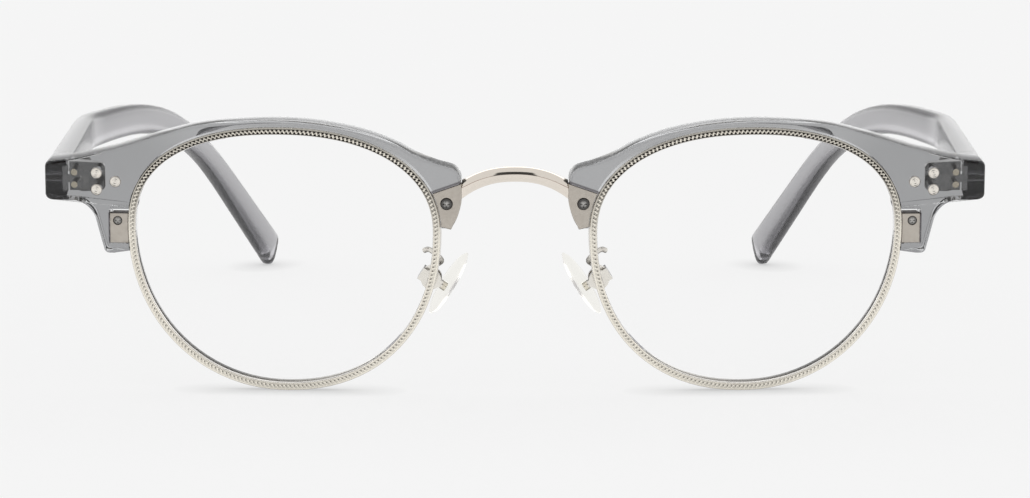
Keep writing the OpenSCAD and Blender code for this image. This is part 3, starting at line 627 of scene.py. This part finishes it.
# The hollows turn from bright to dark, as painted shade, from so far below LEVEL, over a height, in
# millimetres
DARK_FROM, DARK_OVER = 1, 9
# The trim stays under the CAD's height, just in front of the eyewire, and is closed just inside it
HEADROOM, STAND_OFF, SUNK = 0.02, 0.002, 0.01
# Lightness of the back of the band, inside the eyewire: painted shade
BACK_LIGHT = 0.3


def near_stroke(phase, across, start, end, width):
    """1 on a straight stroke that repeats once for each bead, 0 away from it."""
    nearest = math.inf
    for turn in (-1, 0, 1):
        ax, ay = (start[0] + turn) * BEAD_PITCH, start[1] * PATTERN_W
        bx, by = (end[0] + turn) * BEAD_PITCH, end[1] * PATTERN_W
        px, py = (phase - math.floor(phase)) * BEAD_PITCH, across * PATTERN_W
        run = ((px - ax) * (bx - ax) + (py - ay) * (by - ay)) / ((bx - ax) ** 2 + (by - ay) ** 2)
        run = min(1, max(0, run))
        nearest = min(nearest, math.hypot(px - ax - run * (bx - ax), py - ay - run * (by - ay)))
    return math.exp(-((nearest / width) ** 4))


def trim_surface(phase, j, w):
    """Lightness of the trim at a place, with painted shade in its hollows, and how far it stands, from 0 to
    1.
    """
    t = j / (ACROSS - 1)
    # Share of the painted shade, growing toward the top of the rim
    dark = min(1, max(0, (w - LEVEL + DARK_FROM) / DARK_OVER))
    if t > PATTERN_W:
        light, height = LIP_LIGHT - LIP_SHADE * dark, LIP_HEIGHT
    else:
        across = t / PATTERN_W
        bead = max(near_stroke(phase, across, *BROAD_STROKE),
                   FINE_HEIGHT * near_stroke(phase, across, *FINE_STROKE))
        border = t < BORDER_IN or t > PATTERN_W - BORDER_OUT
        hollow = (BORDER_LIGHT if border else HOLLOW_LIGHT) * (1 - dark)
        speck = SPECK_SHADE * near_stroke(phase, across, *SPECK)
        light = (hollow + (1 - hollow) * bead) * (1 - speck * (1 - dark))
        height = HOLLOW_HEIGHT + (1 - HOLLOW_HEIGHT) * bead
    if j in (0, ACROSS - 1):
        return light, 0.0
    relief = LOWER_RELIEF + (1 - LOWER_RELIEF) * dark
    return light, height * relief + LOWER_GROUND * (1 - dark)


def beaded_trim(side, suffix):
    """The trim of one side, as a closed band of rings that each go across it and back inside."""
    count = BEADS * PER_BEAD
    verts, lights = [], []
    for i, a in enumerate(even_angles(count)):
        for j in range(ACROSS):
            u, w = rim_point(a, TRIM_SIDE + (WIRE_W - 2 * TRIM_SIDE) * (j / (ACROSS - 1)))
            light, height = trim_surface(i / PER_BEAD, j, w)
            verts.append(front_point(u, -(BEAD_H - HEADROOM) * height - STAND_OFF, w, side))
            lights.append(light)
        for grow in (WIRE_W - TRIM_SIDE, TRIM_SIDE):
            u, w = rim_point(a, grow)
            verts.append(front_point(u, SUNK, w, side))
            lights.append(BACK_LIGHT)
    row = ACROSS + 2
    faces = []
    for i in range(count):
        k = (i + 1) % count
        for j in range(row):
            m = (j + 1) % row
            quad = (i * row + j, k * row + j, k * row + m, i * row + m)
            faces.append(quad if side > 0 else quad[::-1])
    obj = new_object("beads" + suffix, verts, faces)
    layer = obj.data.attributes.new("lightness", "FLOAT", "POINT")
    layer.data.foreach_set("value", lights)
    obj.data.materials.append(bead_metal)
    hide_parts("beaded_trim" + suffix)
    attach(obj, "front")


beaded_trim(1, "_left")
beaded_trim(-1, "_right")

# Floor: half its width in metres, its grey, the grey of its shadow and how far that reaches, and
# how much of what the camera, metal and glass see of it is plain
FLOOR_HALF, FLOOR_GREY = 20, 0.912
SHADOW_GREY, SHADOW_REACH = 0.62, 0.006
PLAIN_SHARE = 0.82


def pale_floor():
    """Pale grey floor, plain to the eye but for the shadow where the glasses touch it."""
    mat, tree, bsdf, out = material("floor_pale")
    corners = [(x * FLOOR_HALF, y * FLOOR_HALF, 0) for x, y in ((-1, -1), (1, -1), (1, 1), (-1, 1))]
    floor = new_object("floor", corners, [(0, 1, 2, 3)])
    floor.data.materials.append(mat)
    bsdf.inputs["Base Color"].default_value = (FLOOR_GREY, FLOOR_GREY, FLOOR_GREY, 1)
    bsdf.inputs["Roughness"].default_value = 0.9
    near_by = node(tree, "ShaderNodeAmbientOcclusion", Distance=SHADOW_REACH, samples=16)
    open_sky = between(tree, near_by.outputs["AO"], 0.25, 1.0)
    plain = node(tree, "ShaderNodeEmission")
    tree.links.new(mix_colour(tree, open_sky, (SHADOW_GREY,) * 3, (FLOOR_GREY,) * 3), plain.inputs["Color"])
    path = node(tree, "ShaderNodeLightPath")
    seen = number(tree, "MAXIMUM", path.outputs["Is Camera Ray"], path.outputs["Is Transmission Ray"])
    seen = number(tree, "MAXIMUM", seen, path.outputs["Is Glossy Ray"])
    blend = node(tree, "ShaderNodeMixShader")
    tree.links.new(number(tree, "MULTIPLY", seen, PLAIN_SHARE), blend.inputs[0])
    tree.links.new(bsdf.outputs["BSDF"], blend.inputs[1])
    tree.links.new(plain.outputs["Emission"], blend.inputs[2])
    tree.links.new(blend.outputs[0], out.inputs["Surface"])


pale_floor()

# Light levels: all round, low at the back, and in the long lamp above the back of the table
SKY, BACK, LAMP = 0.84, 1.4, 2.0
LAMP_UP = math.radians(42)
# Soft edges, as two levels of a direction's X, Y or Z: of the bright back, of the lamp, of the dark
# studio behind the camera, and of the brown strip where the table ends in front
BACK_TOP, BACK_FRONT = (0.15, 0.34), (0.05, 0.3)
LAMP_SIDE, LAMP_FRONT = (0.06, 0.32), (0.05, 0.15)
STUDIO_SIDE, STUDIO_FOOT, STUDIO_TOP, STUDIO_BACK = (0.28, 0.36), (-0.02, 0.05), (0.6, 0.68), (0.3, 0.5)
STRIP_FOOT, STRIP_TOP, STRIP_BACK = (-0.08, -0.03), (0.05, 0.1), (0.15, 0.4)
STUDIO_DARK = 0.93
STRIP_BROWN = (0.3, 0.17, 0.14)


def past(tree, value, edge):
    """0 below a soft edge and 1 above it."""
    return between(tree, value, *edge, kind="SMOOTHSTEP")


def before(tree, value, edge):
    """1 below a soft edge and 0 above it."""
    return number(tree, "SUBTRACT", 1.0, past(tree, value, edge))


def drawn_to(tree, level, high, amount):
    """The light level drawn toward another one by an amount from 0 to 1."""
    return number(tree, "ADD", level, product(tree, number(tree, "SUBTRACT", high, level), amount))


def studio_light():
    """World: even soft light, brighter low at the back, with a long lamp and a dark studio."""
    world = bpy.data.worlds.new("studio")
    scene.world = world
    world.use_nodes = True
    tree = world.node_tree
    direction = node(tree, "ShaderNodeTexCoord").outputs["Generated"]
    side, back, up = split(tree, direction)
    ahead = number(tree, "MULTIPLY", back, -1.0)
    low_back = product(tree, before(tree, up, BACK_TOP), past(tree, back, BACK_FRONT))
    level = drawn_to(tree, SKY, BACK, low_back)
    across_lamp = Vector((0.0, math.cos(LAMP_UP + math.pi / 2), math.sin(LAMP_UP + math.pi / 2)))
    off_lamp = number(tree, "ABSOLUTE", vector_math(tree, "DOT_PRODUCT", direction, across_lamp))
    lamp = product(tree, before(tree, off_lamp, LAMP_SIDE), past(tree, back, LAMP_FRONT))
    level = drawn_to(tree, level, LAMP, lamp)
    studio = product(
        tree, before(tree, number(tree, "ABSOLUTE", side), STUDIO_SIDE), past(tree, up, STUDIO_FOOT),
        before(tree, up, STUDIO_TOP), past(tree, ahead, STUDIO_BACK), STUDIO_DARK,
    )
    level = product(tree, level, number(tree, "SUBTRACT", 1.0, studio))
    strip = product(
        tree, past(tree, up, STRIP_FOOT), before(tree, up, STRIP_TOP), past(tree, ahead, STRIP_BACK),
    )
    background = tree.nodes["Background"]
    tree.links.new(mix_colour(tree, strip, (1.0, 1.0, 1.0), STRIP_BROWN), background.inputs["Color"])
    tree.links.new(level, background.inputs["Strength"])


studio_light()
